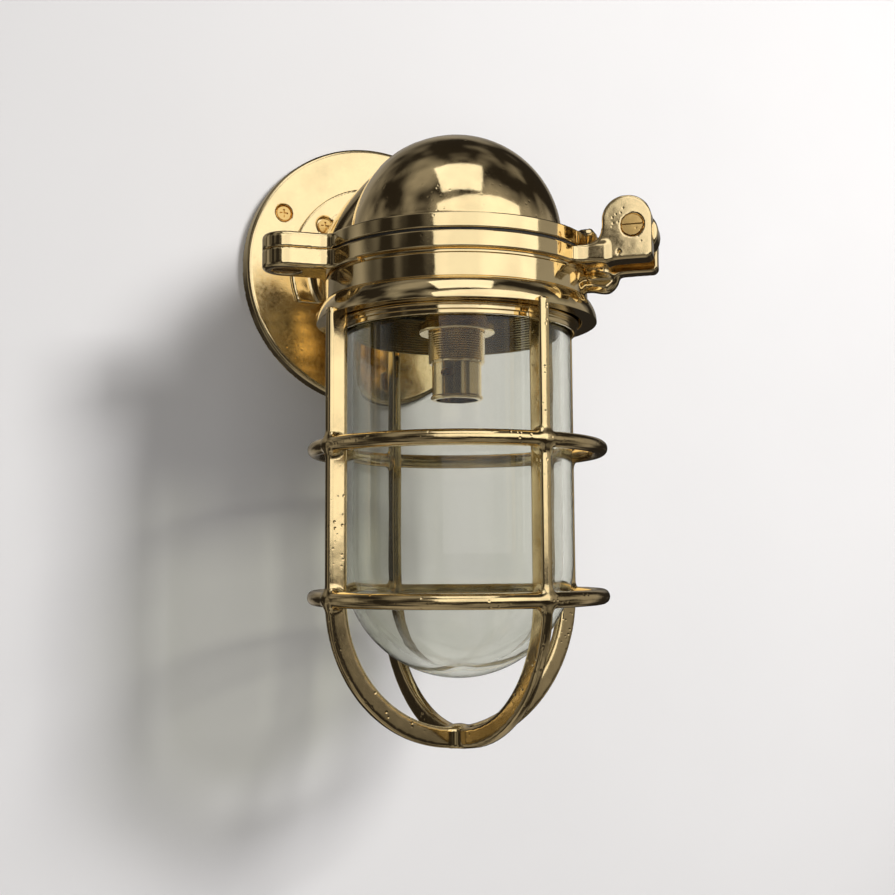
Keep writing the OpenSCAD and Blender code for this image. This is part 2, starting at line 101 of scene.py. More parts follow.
# Cage: hoops and ribs
HOOP_R = 74.4
HOOP_TUBE = 3.9
HOOPS_Z = (-99.5, -175.5)
RIB_HALF = 2.8
RIB_IN, RIB_OUT = 66.5, 77.0
RIB_DIRS = (9.0, 99.0)
DIMPLE_R, DIMPLE_DROP = 1.6, 79.0

# Cage: clamp lug and hinge ears
LUG_ROOT, LUG_N, LUG_HALF, LUG_Z = 60.0, 91.0, 12.5, -9.5
CLAMP_HEAD_R, CLAMP_HEAD_H, CLAMP_HOLE_R = 7.05, 4.85, 4.1
PIN_N, PIN_Z = 96.0, 8.5
PIN_HEAD_R, PIN_HEAD_T, PIN_HOLE_R = 5.5, -20.1, 4.02
EAR_IN, EAR_OUT, EAR_TOP = 80.9, 105.5, 24.0
FRONT_EAR = (-22.5, -9.0)
REAR_EAR = (9.0, 19.5)
SLOT_N, SLOT_HALF = 85.0, 9.0

# Glass and lampholder thread
GLASS_R = 60.0
GLASS_T = 5.2
GLASS_DEPTH = 217.0
GLASS_LIP_R, GLASS_LIP_Z, GLASS_TOP = 64.4, -17.5, -12.5
HOLDER_R, HOLDER_CREST_R, HOLDER_INNER_R = 14.25, 15.0, 14.1
HOLDER_FROM, HOLDER_TO, HOLDER_PITCH = -53.6, -38.5, 1.25


# ---------- small helpers ----------


def to_row(points):
    """Lantern frame in millimetres to row frame in metres."""
    return (np.asarray(points, float) + (0.0, -REACH, -RISE)) * MM


def directions(angle):
    """Outward and sideways unit vectors at a direction measured from the front."""
    a = math.radians(angle)
    return np.array([math.sin(a), -math.cos(a)]), np.array([math.cos(a), math.sin(a)])


def add_mesh(name, points, faces, body, material, replaces=()):
    """A smooth mesh in the row frame that moves with a body. Scenery has no body."""
    mesh = bpy.data.meshes.new(name)
    mesh.from_pydata(np.asarray(points).tolist(), [], [list(f) for f in faces])
    mesh.validate()
    mesh.shade_smooth()
    mesh.materials.append(material)
    obj = bpy.data.objects.new(name, mesh)
    bpy.context.scene.collection.objects.link(obj)
    if body:
        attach(obj, body)
    if replaces:
        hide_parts(*replaces)
    return obj


def soft_corners(points, radius, steps=4, closed=True):
    """The outline with each corner turned into a short arc."""
    pts = [np.array(p, float) for p in points]
    n = len(pts)
    out = []
    for i, p in enumerate(pts):
        if not closed and i in (0, n - 1):
            out.append(p)
            continue
        a, b = pts[i - 1], pts[(i + 1) % n]
        la, lb = np.linalg.norm(a - p), np.linalg.norm(b - p)
        cut = min(radius, 0.42 * la, 0.42 * lb)
        s, e = p + (a - p) / la * cut, p + (b - p) / lb * cut
        for t in np.linspace(0, 1, steps + 1):
            out.append((1 - t) ** 2 * s + 2 * t * (1 - t) * p + t**2 * e)
    return out


def revolve(name, outline, body, material, replaces=(), segments=SEGMENTS):
    """A body of revolution from a closed loop of (radius, height) points, run anticlockwise."""
    n, out = len(outline), []
    for a in np.linspace(0, 2 * math.pi, segments, endpoint=False):
        c, s = math.cos(a), math.sin(a)
        out.extend((r * c, r * s, z) for r, z in outline)
    faces = []
    for k in range(segments):
        k2 = (k + 1) % segments
        for i in range(n):
            j = (i + 1) % n
            faces.append((k * n + i, k2 * n + i, k2 * n + j, k * n + j))
    obj = add_mesh(name, to_row(out), faces, body, material, replaces)
    weld = obj.modifiers.new("weld", "WELD")
    weld.merge_threshold = 1e-6
    normals = obj.modifiers.new("normals", "WEIGHTED_NORMAL")
    normals.keep_sharp = False
    normals.weight = 80
    return obj


def arc(cx, cz, r, a0, a1, steps):
    """Points on a circle between two angles in degrees."""
    return [
        (cx + r * math.cos(math.radians(a)), cz + r * math.sin(math.radians(a)))
        for a in np.linspace(a0, a1, steps)
    ]


# ---------- distance fields for the cast pieces ----------


def smin(a, b, k):
    """The nearer of two shapes, run together over a width k."""
    h = np.clip(0.5 + 0.5 * (b - a) / k, 0, 1)
    return b + (a - b) * h - k * h * (1 - h)


def smax(a, b, k):
    """What two shapes share, with the edge between them rounded over a width k."""
    return -smin(-a, -b, k)


def box2(u, v, u0, u1, v0, v1, r):
    """Rounded rectangle in two coordinates."""
    du = np.abs(u - (u0 + u1) / 2) - (u1 - u0) / 2 + r
    dv = np.abs(v - (v0 + v1) / 2) - (v1 - v0) / 2 + r
    return np.hypot(np.maximum(du, 0), np.maximum(dv, 0)) + np.minimum(np.maximum(du, dv), 0) - r


def thick(outline, w, w0, w1, r):
    """An outline's distance made solid between two heights, with round edges."""
    dw = np.abs(w - (w0 + w1) / 2) - (w1 - w0) / 2 + r
    d = outline + r
    return np.hypot(np.maximum(d, 0), np.maximum(dw, 0)) + np.minimum(np.maximum(d, dw), 0) - r


def local(p, angle):
    """Outward and sideways distance at a direction, and height."""
    n, t = directions(angle)
    x, y, z = p
    return x * n[0] + y * n[1], x * t[0] + y * t[1], z


def cast(name, field, low, high, voxel, body, material, replaces=()):
    """A smooth mesh of where the field is zero: a voxel mesh, then its points moved onto the field."""
    low, high = np.array(low, float), np.array(high, float)
    count = np.ceil((high - low) / voxel).astype(int) + 1
    axes = [low[i] + voxel * np.arange(count[i]) for i in range(3)]
    p = np.meshgrid(*[a.astype(np.float32) for a in axes], indexing="ij", sparse=True)
    values = np.broadcast_to(field(p), tuple(count)).astype(np.float32)
    grid = openvdb.FloatGrid(3.0 * voxel)
    grid.copyFromArray(np.ascontiguousarray(np.clip(values, -3 * voxel, 3 * voxel)))
    points, quads = grid.convertToQuads(isovalue=0.0)
    points = low + np.asarray(points, float) * voxel
    step = 0.04
    for _ in range(4):
        x, y, z = points.T
        f = field((x, y, z))
        g = np.stack(
            [
                field((x + step, y, z)) - field((x - step, y, z)),
                field((x, y + step, z)) - field((x, y - step, z)),
                field((x, y, z + step)) - field((x, y, z - step)),
            ],
            axis=1,
        ) / (2 * step)
        size = np.maximum((g * g).sum(1), 0.05)
        move = -(f / size)[:, None] * g
        length = np.linalg.norm(move, axis=1)
        limit = np.minimum(1.0, 0.5 * voxel / np.maximum(length, 1e-9))
        points = points + move * limit[:, None]
    quads = np.asarray(quads, int)
    a, b, c = (points[quads[:, i]] for i in range(3))
    if np.einsum("ij,ij->i", a, np.cross(b, c)).sum() < 0:
        quads = quads[:, ::-1]
    return add_mesh(name, to_row(points), quads, body, material, replaces)


# ---------- materials ----------


class Nodes:
    """A short way to write a node material.

    In add(), a key with a leading underscore sets a property of the node and the others set inputs.
    """

    def __init__(self, name):
        self.material = bpy.data.materials.new(name)
        self.material.use_nodes = True
        self.tree = self.material.node_tree
        self.tree.nodes.clear()

    def add(self, kind, **values):
        node = self.tree.nodes.new(kind)
        for key, value in values.items():
            if key.startswith("_"):
                setattr(node, key[1:], value)
            else:
                node.inputs[key.replace("__", " ")].default_value = value
        return node

    def link(self, a, out, b, into):
        self.tree.links.new(a.outputs[out], b.inputs[into])

    def noise(self, source, scale, detail=4.0, roughness=0.55):
        n = self.add("ShaderNodeTexNoise", Scale=scale, Detail=detail, Roughness=roughness)
        self.link(source, "Object", n, "Vector")
        return n

    def ramp(self, node, out, stops):
        r = self.add("ShaderNodeValToRGB")
        r.color_ramp.elements[0].position, r.color_ramp.elements[0].color = stops[0]
        r.color_ramp.elements[1].position, r.color_ramp.elements[1].color = stops[-1]
        for position, colour in stops[1:-1]:
            r.color_ramp.elements.new(position).color = colour
        self.link(node, out, r, "Fac")
        return r

    def remap(self, node, out, low, high, to_low, to_high):
        m = self.add("ShaderNodeMapRange")
        for i, v in enumerate((low, high, to_low, to_high)):
            m.inputs[i + 1].default_value = v
        self.link(node, out, m, "Value")
        return m


def brass(name, tone, rough, pits, dark):
    """Polished cast brass: tarnish in patches, fine scratches and casting pits."""
    n = Nodes(name)
    where = n.add("ShaderNodeTexCoord")
    patches = n.noise(where, 34.0, 5.0)
    fine = n.noise(where, 420.0, 3.0)
    low = tuple(c * (1 - dark) for c in tone)
    high = tuple(min(1, c * 1.08) for c in tone)
    colour = n.ramp(patches, "Fac", [(0.30, (*low, 1)), (0.52, (*tone, 1)), (0.75, (*high, 1))])
    rough_map = n.remap(fine, "Fac", 0.3, 0.75, rough * 0.75, rough * 1.5)
    pit_cells = n.add("ShaderNodeTexVoronoi", Scale=330.0, Randomness=1.0)
    n.link(where, "Object", pit_cells, "Vector")
    pit_depth = n.remap(pit_cells, "Distance", 0.05, 0.28, 0.0, 1.0)
    pit_patch = n.remap(n.noise(where, 60.0, 3.0), "Fac", 0.50, 0.66, 0.0, 1.0)
    pit = n.add("ShaderNodeMix", _data_type="FLOAT")
    n.link(pit_patch, "Result", pit, 0)
    pit.inputs[2].default_value = 1.0
    n.link(pit_depth, "Result", pit, 3)
    waves = n.noise(where, 55.0, 2.0, 0.4)
    bump_wave = n.add("ShaderNodeBump", Strength=0.25, Distance=0.0006)
    n.link(waves, "Fac", bump_wave, "Height")
    bump_fine = n.add("ShaderNodeBump", Strength=0.10, Distance=0.00006)
    n.link(fine, "Fac", bump_fine, "Height")
    n.link(bump_wave, "Normal", bump_fine, "Normal")
    bump_pit = n.add("ShaderNodeBump", Strength=pits, Distance=0.0003)
    n.link(pit, 0, bump_pit, "Height")
    n.link(bump_fine, "Normal", bump_pit, "Normal")
    shader = n.add("ShaderNodeBsdfPrincipled", Metallic=1.0)
    n.link(colour, "Color", shader, "Base Color")
    n.link(rough_map, "Result", shader, "Roughness")
    n.link(bump_pit, "Normal", shader, "Normal")
    out = n.add("ShaderNodeOutputMaterial")
    n.link(shader, "BSDF", out, "Surface")
    return n.material


def plain(name, low, high, scale, rough, bump, metallic=0.0):
    """A material with mottled colour, uneven roughness and a fine grain."""
    n = Nodes(name)
    where = n.add("ShaderNodeTexCoord")
    mottle = n.noise(where, scale, 5.0)
    grain = n.noise(where, scale * 9, 3.0)
    colour = n.ramp(mottle, "Fac", [(0.3, (*low, 1)), (0.7, (*high, 1))])
    rough_map = n.remap(grain, "Fac", 0.3, 0.7, rough * 0.8, min(1.0, rough * 1.2))
    b = n.add("ShaderNodeBump", Strength=bump, Distance=0.0002)
    n.link(grain, "Fac", b, "Height")
    shader = n.add("ShaderNodeBsdfPrincipled", Metallic=metallic)
    n.link(colour, "Color", shader, "Base Color")
    n.link(rough_map, "Result", shader, "Roughness")
    n.link(b, "Normal", shader, "Normal")
    out = n.add("ShaderNodeOutputMaterial")
    n.link(shader, "BSDF", out, "Surface")
    return n.material


def glass_material():
    """Thick clear glass with a faint olive cast and slow upright streaks."""
    n = Nodes("glass")
    where = n.add("ShaderNodeTexCoord")
    stretch = n.add("ShaderNodeMapping", Scale=(1.0, 1.0, 0.12))
    n.link(where, "Object", stretch, "Vector")
    streaks = n.add("ShaderNodeTexNoise", Scale=45.0, Detail=3.0, Roughness=0.5)
    n.link(stretch, "Vector", streaks, "Vector")
    b = n.add("ShaderNodeBump", Strength=0.22, Distance=0.0005)
    n.link(streaks, "Fac", b, "Height")
    smears = n.remap(n.noise(where, 70.0, 5.0), "Fac", 0.35, 0.75, 0.005, 0.05)
    tint = n.ramp(streaks, "Fac", [(0.3, (0.87, 0.875, 0.845, 1)), (0.7, (0.93, 0.93, 0.915, 1))])
    shader = n.add("ShaderNodeBsdfPrincipled", IOR=1.5, **{"Transmission__Weight": 1.0})
    n.link(tint, "Color", shader, "Base Color")
    n.link(smears, "Result", shader, "Roughness")
    n.link(b, "Normal", shader, "Normal")
    clear = n.add("ShaderNodeBsdfTransparent", Color=(0.80, 0.80, 0.77, 1))
    path = n.add("ShaderNodeLightPath")
    mix = n.add("ShaderNodeMixShader")
    n.link(path, "Is Shadow Ray", mix, 0)
    n.link(shader, "BSDF", mix, 1)
    n.link(clear, "BSDF", mix, 2)
    deep = n.add("ShaderNodeVolumeAbsorption", Color=(0.66, 0.70, 0.48, 1), Density=26.0)
    out = n.add("ShaderNodeOutputMaterial")
    n.link(mix, "Shader", out, "Surface")
    n.link(deep, "Volume", out, "Volume")
    return n.material


BRASS = brass("brass_cast", (0.95, 0.75, 0.42), rough=0.09, pits=0.25, dark=0.16)
BRASS_RIB = brass("brass_ribs", (0.95, 0.74, 0.40), rough=0.11, pits=0.75, dark=0.24)
BRASS_PLATE = brass("brass_plate", (0.95, 0.76, 0.43), rough=0.15, pits=0.20, dark=0.16)
BRASS_TURNED = brass("brass_turned", (0.95, 0.76, 0.43), rough=0.07, pits=0.05, dark=0.12)
BRASS_DARK = brass("brass_dark", (0.50, 0.33, 0.13), rough=0.24, pits=0.40, dark=0.5)
BRASS_SCREW = brass("brass_screw", (0.74, 0.50, 0.19), rough=0.18, pits=0.35, dark=0.4)
GLASS = glass_material()
RUBBER = plain("rubber", (0.012, 0.012, 0.012), (0.035, 0.034, 0.032), scale=160.0, rough=0.62, bump=0.35)
CERAMIC = plain("ceramic", (0.80, 0.78, 0.72), (0.90, 0.885, 0.84), scale=90.0, rough=0.28, bump=0.10)
STEEL = plain(
    "steel", (0.46, 0.45, 0.43), (0.66, 0.65, 0.63), scale=140.0, rough=0.30, bump=0.25, metallic=1.0
)
WIRE_BROWN = plain(
    "wire_brown", (0.16, 0.075, 0.035), (0.24, 0.115, 0.05), scale=120.0, rough=0.45, bump=0.15
)
WIRE_BLUE = plain("wire_blue", (0.03, 0.10, 0.30), (0.05, 0.15, 0.40), scale=120.0, rough=0.45, bump=0.15)
WIRE_GREEN = plain("wire_green", (0.10, 0.26, 0.05), (0.45, 0.48, 0.07), scale=120.0, rough=0.45, bump=0.15)

CAD_MATERIALS = {
    "wall_gasket": RUBBER,
    "wall_screws": BRASS_SCREW,
    "cable_grommet": RUBBER,
    "arm_screws": BRASS_SCREW,
    "hood_gasket": RUBBER,
    "holder_bracket": BRASS_DARK,
    "bracket_screws": STEEL,
    "holder_locknut": BRASS_DARK,
    "holder_cap": BRASS_TURNED,
    "holder_shell": BRASS_TURNED,
    "shade_ring": BRASS_TURNED,
    "holder_core": CERAMIC,
    "holder_terminals": BRASS_DARK,
    "plunger_left": BRASS_TURNED,
    "plunger_right": BRASS_TURNED,
    "spring_left": STEEL,
    "spring_right": STEEL,
    "terminal_block": CERAMIC,
    "block_screws": STEEL,
    "earth_screw": STEEL,
    "wire_live": WIRE_BROWN,
    "wire_neutral": WIRE_BLUE,
    "wire_earth": WIRE_GREEN,
    "glass_lower_seal": RUBBER,
    "glass_upper_seal": RUBBER,
    "glass_lock_ring": BRASS_TURNED,
    "hinge_pin": BRASS_SCREW,
    "hinge_nut": BRASS_TURNED,
    "clamp_screw": BRASS_SCREW,
    "wall_plate": BRASS,
    "hood": BRASS,
    "cage": BRASS,
    "glass": GLASS,
}
for node_name, node_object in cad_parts.items():
    node_object.data.materials.clear()
    node_object.data.materials.append(CAD_MATERIALS[node_name])


# ---------- cage ----------


def rib_field(p):
    """Two arched ribs that cross under the glass, and the two hoops round them."""
    x, y, z = p
    r = np.hypot(x, y)
    hoops = np.minimum(*[np.hypot(r - HOOP_R, z - h) - HOOP_TUBE for h in HOOPS_Z])
    arch_z = HOOPS_Z[1]
    ribs = None
    for angle in RIB_DIRS:
        out, side, _ = local(p, angle)
        reach = np.where(z > arch_z, np.abs(out), np.hypot(out, z - arch_z))
        rib = box2(reach, side, RIB_IN, RIB_OUT - 0.02, -RIB_HALF, RIB_HALF, 1.7)
        ribs = rib if ribs is None else smin(ribs, rib, 6.0)
    dimple = np.sqrt(r**2 + (z - arch_z + DIMPLE_DROP) ** 2) - DIMPLE_R
    ribs = smax(ribs, -dimple, 0.8)
    ribs = np.maximum(ribs, arch_z - RIB_OUT + HAIR - z)
    return smax(smin(ribs, hoops, 3.6), z - (SKIRT_Z + 2.0), 0.3)


def ring_outline(x, y):
    return np.hypot(x, y) - (RING_R - HAIR)


def lug_plan(p):
    """Distance outward, distance from the clamp screw's axis, and the lug's outline from above."""
    n, t, _ = local(p, CLAMP_DIR)
    from_screw = np.hypot(n - LUG_N, t)
    straight = box2(n, t, LUG_ROOT, LUG_N, -LUG_HALF, LUG_HALF, 0.0)
    lug = np.minimum(from_screw - (LUG_HALF - 0.03), straight)
    return n, from_screw, smin(ring_outline(p[0], p[1]), lug, 7.0)


def cage_lug_field(p):
    n, from_screw, plan = lug_plan(p)
    z = p[2]
    d = np.maximum(thick(plan, z, LUG_Z, 4.0, 2.0), z + 0.03)
    recess = np.maximum(from_screw - CLAMP_HEAD_R, z - (LUG_Z + CLAMP_HEAD_H))
    d = smax(d, -np.minimum(recess, from_screw - CLAMP_HOLE_R), 0.8)
    return smax(d, LUG_ROOT - n, 0.1)


def ear_field(p):
    """Front and rear hinge ears, the web that carries them and the round lump behind the rear ear."""
    n, t, z = local(p, HINGE_DIR)
    base = box2(n, z, 60.0, 83.0, -RING_H + 0.25, -0.35, 1.2)
    ear = smin(box2(n, z, EAR_IN, EAR_OUT, -RING_H, EAR_TOP, 12.0), base, 11.0)
    foot = box2(n, z, 84.0, EAR_OUT - 0.1, -RING_H, 10.0, 3.2)
    ear = np.minimum(ear, foot)
    front = thick(ear, t, *FRONT_EAR, 1.1)
    rear = thick(ear, t, *REAR_EAR, 1.1)
    plan = box2(n, t, 58.0, 83.0, -21.9, 18.9, 1.0)
    plan = smin(ring_outline(p[0], p[1]), plan, 6.0)
    web = thick(plan, z, -RING_H + 0.1, -0.1, 0.9)
    slot_sides = np.maximum(np.abs(t) - SLOT_HALF, SLOT_N - n)
    slot = np.minimum(np.hypot(n - SLOT_N, t) - SLOT_HALF, slot_sides)
    lump = smin(np.hypot(n - 78.0, z + 9.6) - 6.9, box2(n, z, 66.0, 80.0, -16.0, -5.0, 2.0), 4.0)
    lump = thick(lump, t, 9.4, 19.3, 3.2)
    d = smin(smin(np.minimum(front, rear), web, 3.0), lump, 2.2)
    d = smax(d, -slot, 0.9)
    pin = np.hypot(n - PIN_N, z - PIN_Z)
    head = np.maximum(pin - PIN_HEAD_R, t - PIN_HEAD_T)
    d = smax(d, -np.minimum(head, pin - PIN_HOLE_R), 0.7)
    punch = np.abs(n - 89.0) + np.abs(z + 4.6) + 0.8 * np.abs(t - FRONT_EAR[0] + 0.1) - 1.25
    d = np.maximum(d, -punch)
    return smax(d, 62.0 - n, 0.1)


def skirt_curve():
    """The skirt's hollow flare, an arc that ends upright at its rim."""
    run = SKIRT_R - SKIRT_TOP_R
    arc_r = (run**2 + (SKIRT_Z - BAND_Z) ** 2) / (2 * run)
    heights = np.linspace(BAND_Z - 0.3, SKIRT_Z + 0.6, 24)
    return [(SKIRT_R - arc_r + math.sqrt(max(0.0, arc_r**2 - (z - SKIRT_Z) ** 2)), z) for z in heights]


def bore_threads():
    """Thread ridges for the glass lock ring."""
    ridges, z = [], THREAD_FROM
    while z < THREAD_TO:
        ridges += [(THREAD_R, z), (THREAD_R + THREAD_DEPTH, z + 0.55), (THREAD_R, z + 1.1)]
        z += THREAD_PITCH
    return ridges


def neck_outline():
    skirt = skirt_curve()
    top = [(NECK_IN_R, -0.3), (NECK_IN_R + 0.3, 0.0), (RING_R, 0.0), (RING_R, -RING_H)]
    groove = [(GROOVE_R, -RING_H), (GROOVE_R, GROOVE_Z), (BAND_R, GROOVE_Z)]
    band = [(BAND_R, BAND_Z + 0.45), (BAND_R - 0.6, BAND_Z + 0.3), (BAND_R - 0.6, BAND_Z - 0.3)]
    outer = soft_corners(top + groove + band, 0.9, 5, closed=False)
    rim = [skirt[-1], (SKIRT_R, SKIRT_Z), (66.0, SKIRT_Z), (66.0, -25.0), (64.6, -25.0), (64.6, -34.4)]
    steps = [(63.7, -34.4), (63.7, -36.6), (62.9, -36.6), (62.9, -38.8), (COLLAR_IN_R, -38.8)]
    under = soft_corners(rim + steps, 0.45, 3, closed=False)
    inner = [(COLLAR_IN_R, SHOULDER_Z), (NECK_IN_R, SHOULDER_Z)]
    outline = outer + skirt[:-1] + under + bore_threads() + inner
    return outline[::-1]


revolve("cage_neck", neck_outline(), "cage_body", BRASS_TURNED, replaces=("cage",))
cast("cage_ribs", rib_field, (-83, -83, -257), (83, 83, -29), 0.95, "cage_body", BRASS_RIB)
cast("cage_clamp_lug", cage_lug_field, (-107, -25, -11), (-52, 40, 2), 0.6, "cage_body", BRASS)
hinge_out, hinge_side = directions(HINGE_DIR)
corners = np.array([hinge_out * a + hinge_side * b for a in (58, 109) for b in (-26, 23)])
ears_low = (*(corners.min(0) - 1), -19.0)
ears_high = (*(corners.max(0) + 1), 26.0)
cast("cage_ears", ear_field, ears_low, ears_high, 0.6, "cage_body", BRASS)


# ---------- hood ----------


def arm_coordinates(p):
    """Sideways, height and distance from the wall, measured in the row frame in millimetres."""
    x, y, z = p
    return x, z - RISE, REACH - y


def hood_arm(p, inset):
    """The arm: a widening cone, held under the dome's width, with a rising belly."""
    x, v, h = arm_coordinates(p)
    from_root = h - ARM_ROOT_H
    tilt = math.atan((RISE - DOME_Z) / (REACH - ARM_ROOT_H))
    along = from_root * math.cos(tilt) - v * math.sin(tilt)
    across = from_root * math.sin(tilt) + v * math.cos(tilt)
    reach = np.hypot(x, across)
    cone = (reach - (ARM_ROOT_R - inset + along * ARM_TAPER)) * 0.987
    barrel = reach - (DOME_R - 0.25 - inset)
    belly = math.radians(BELLY_TILT)
    up = (v - BELLY_V) * math.cos(belly) - from_root * math.sin(belly)
    under = np.hypot(x, up) - (BELLY_R - inset)
    return smax(smax(smax(cone, barrel, 10.0), under, 9.0), along - ARM_LENGTH, 1.0)


def hood_outside(p):
    """Dome, arm, the arm's foot and the dome's flange."""
    x, y, z = p
    r = np.hypot(x, y)
    _, v, h = arm_coordinates(p)
    dome = np.sqrt(r * r + (z - DOME_Z) ** 2) - DOME_R
    dome = np.minimum(dome, np.maximum(r - DOME_R, z - DOME_Z))
    foot = thick(np.hypot(x, v) - (ARM_FLANGE_R - HAIR), h, PLATE_T - 1.0, ARM_ROOT_H - HAIR, 0.5)
    arm = smin(hood_arm(p, 0.0), foot, 4.5)
    flange = thick(ring_outline(x, y), z, SEAL_T + HAIR, FLANGE_TOP - HAIR, 0.7)
    return smin(smin(dome, arm, 2.6), flange, 5.5)


def tongue_field(p):
    """The hinge tongue, a beam that rises from the flange to a round end on the pin."""
    n, t, z = local(p, HINGE_DIR)
    beam_top = np.maximum(0.0, z - 11.4 - (n - 66.0) * 0.26)
    beam = smax(beam_top, smax(SEAL_T + 0.2 - z, np.maximum(52.0 - n, n - PIN_N), 0.5), 1.0)
    beam = smax(beam, (n - 72.0) * 0.42 - z + SEAL_T - 9.0, 2.0)
    end = np.hypot(n - PIN_N, z - PIN_Z) - TONGUE_R
    tongue = thick(smin(beam, end, 6.0), t, -TONGUE_HALF, TONGUE_HALF, 1.6)
    under_cut = np.maximum(n - 77.0, z - SEAL_T)
    return np.maximum(tongue, -under_cut)


def hood_inside(p):
    """The hollow of dome and arm, less the two bosses that carry the lampholder's bracket."""
    x, y, z = p
    r = np.hypot(x, y)
    inside = np.sqrt(r * r + (z - DOME_Z) ** 2) - (DOME_R - HOOD_WALL)
    inside = np.minimum(inside, hood_arm(p, HOOD_WALL))
    for s in (-1, 1):
        boss = np.maximum(np.hypot(x - s * BOSS_X, y) - BOSS_R, BOSS_BOTTOM - z)
        inside = np.maximum(inside, -boss)
    return inside


def hood_field(p):
    x, y, z = p
    d = smin(hood_outside(p), tongue_field(p), 4.5)

    n, from_screw, plan = lug_plan(p)
    lug = thick(plan, z, -4.0, FLANGE_TOP - 0.06, 2.0)
    lug = np.maximum(np.maximum(lug, 0.25 - z), 50.0 - n)
    hole = np.maximum(from_screw - LUG_HOLE_R, z - LUG_HOLE_TOP)
    d = np.maximum(np.minimum(d, lug), -hole)

    d = smax(d, -hood_inside(p), 0.6)
    _, v, h = arm_coordinates(p)
    for a in ARM_SCREW_DIRS:
        sx, sv = (ARM_SCREW_RING * f(math.radians(a)) for f in (math.cos, math.sin))
        sink = np.maximum(np.hypot(x - sx, v - sv) - SCREW_SINK_R, np.abs(h - (ARM_ROOT_H + 2.0)) - 4.5)
        d = smax(d, -sink, 0.5)
    bottom = SEAL_T + 0.02 - np.where(np.hypot(x, y) < RING_R + 0.3, z, z + 1.1)
    return smax(smax(d, bottom, 0.2), PLATE_T - h, 0.1)


cast("hood_cast", hood_field, (-107, -76, -1), (102, 125, 81), 1.0, "hood_body", BRASS, replaces=("hood",))
flange_corners = [(FLANGE_IN_R, SEAL_T), (RING_R, SEAL_T), (RING_R, FLANGE_TOP), (FLANGE_IN_R, FLANGE_TOP)]
revolve("hood_flange", soft_corners(flange_corners, 0.9, 5), "hood_body", BRASS_TURNED)


# ---------- wall plate ----------


def plate_field(p):
    x, v, h = arm_coordinates(p)
    r = np.hypot(x, v)
    edge = r - PLATE_R + PLATE_LEAN * np.clip(h / PLATE_T, 0, 1)
    plate = np.maximum(thick(edge, h, -3.0, PLATE_T, 2.4), 0.02 - h)
    for a in WALL_SCREW_DIRS:
        sx, sv = (WALL_SCREW_RING * f(math.radians(a)) for f in (math.cos, math.sin))
        d = np.hypot(x - sx, v - sv)
        plate = smax(plate, -np.maximum(d - SCREW_SINK_R, PLATE_T - WALL_SCREW_SINK - h), 0.5)
        plate = np.maximum(plate, WALL_HOLE_R - d)
    back = np.maximum(np.maximum(BACK_SEAL_IN_R - r, r - BACK_SEAL_OUT_R), h - BACK_SEAL_T)
    return np.maximum(np.maximum(plate, -back), CABLE_HOLE_R - r)


cast(
    "wall_plate_cast", plate_field, (-84, 122, -62), (84, 134, 106), 0.8, "hood_body", BRASS_PLATE,
    replaces=("wall_plate",),
)


# ---------- glass ----------


def glass_outline():
    """A round-ended jar with a lip that hangs on the cage's shoulder."""
    z0 = GLASS_R - GLASS_DEPTH
    inner_r = GLASS_R - GLASS_T
    outer = arc(0, z0, GLASS_R, -89.9, 0, 64)
    outer += [(GLASS_R, z) for z in np.linspace(z0 + 4, GLASS_LIP_Z - 0.7, 26)]
    lip = [(GLASS_R, GLASS_LIP_Z - 0.1), (GLASS_LIP_R, GLASS_LIP_Z), (GLASS_LIP_R, GLASS_TOP)]
    lip = soft_corners([*lip, (inner_r, GLASS_TOP)], 0.6, 3, closed=False)
    inner = [(inner_r, z) for z in np.linspace(GLASS_TOP - 1.5, z0 + 4, 26)]
    return outer + lip + inner + arc(0, z0, inner_r, 0, -89.9, 64)


revolve("glass_jar", glass_outline(), "cage_body", GLASS, replaces=("glass",))


# ---------- thread on the lampholder ----------


def thread_outline():
    """Rounded ridges up the lampholder's shell, closed along its wall."""
    out, z = [], HOLDER_FROM
    while z < HOLDER_TO:
        out += [(HOLDER_R, z), (HOLDER_R, z + 0.2), (HOLDER_CREST_R, z + 0.6), (HOLDER_CREST_R, z + 0.75)]
        out += [(HOLDER_R, z + 1.15)]
        z += HOLDER_PITCH
    top, bottom = HOLDER_TO + 0.5, HOLDER_FROM - 0.2
    root = HOLDER_R - 0.03
    return out + [(root, top), (HOLDER_INNER_R, top), (HOLDER_INNER_R, bottom), (root, bottom)]


revolve("holder_thread", thread_outline(), "hood_body", BRASS_TURNED, segments=128)


# ---------- camera, wall and light ----------

CAMERA_PLACE = (-0.25923, -0.70035, -0.17708)
CAMERA_YAW, CAMERA_PITCH, CAMERA_ROLL = -24.08, 5.29, -0.35
SENSOR_MM, LENS_MM = 36.0, 47.866


def camera():
    """A camera turned by yaw, then tilted up by pitch, then rolled about its own axis."""
    yaw, pitch, roll = (math.radians(a) for a in (CAMERA_YAW, CAMERA_PITCH, CAMERA_ROLL))
    ahead = Vector((-math.sin(yaw) * math.cos(pitch), math.cos(yaw) * math.cos(pitch), math.sin(pitch)))
    level = Vector((math.cos(yaw), math.sin(yaw), 0))
    upright = level.cross(ahead)
    right = math.cos(roll) * level + math.sin(roll) * upright
    up = -math.sin(roll) * level + math.cos(roll) * upright
    data = bpy.data.cameras.new("camera")
    data.sensor_width = SENSOR_MM
    data.lens = LENS_MM
    data.clip_start, data.clip_end = 0.01, 50.0
    obj = bpy.data.objects.new("camera", data)
    turn = Matrix.Identity(4)
    for i in range(3):
        turn[i][0], turn[i][1], turn[i][2] = right[i], up[i], -ahead[i]
    turn.translation = Vector(CAMERA_PLACE)
    obj.matrix_world = turn
    bpy.context.scene.collection.objects.link(obj)
    bpy.context.scene.camera = obj


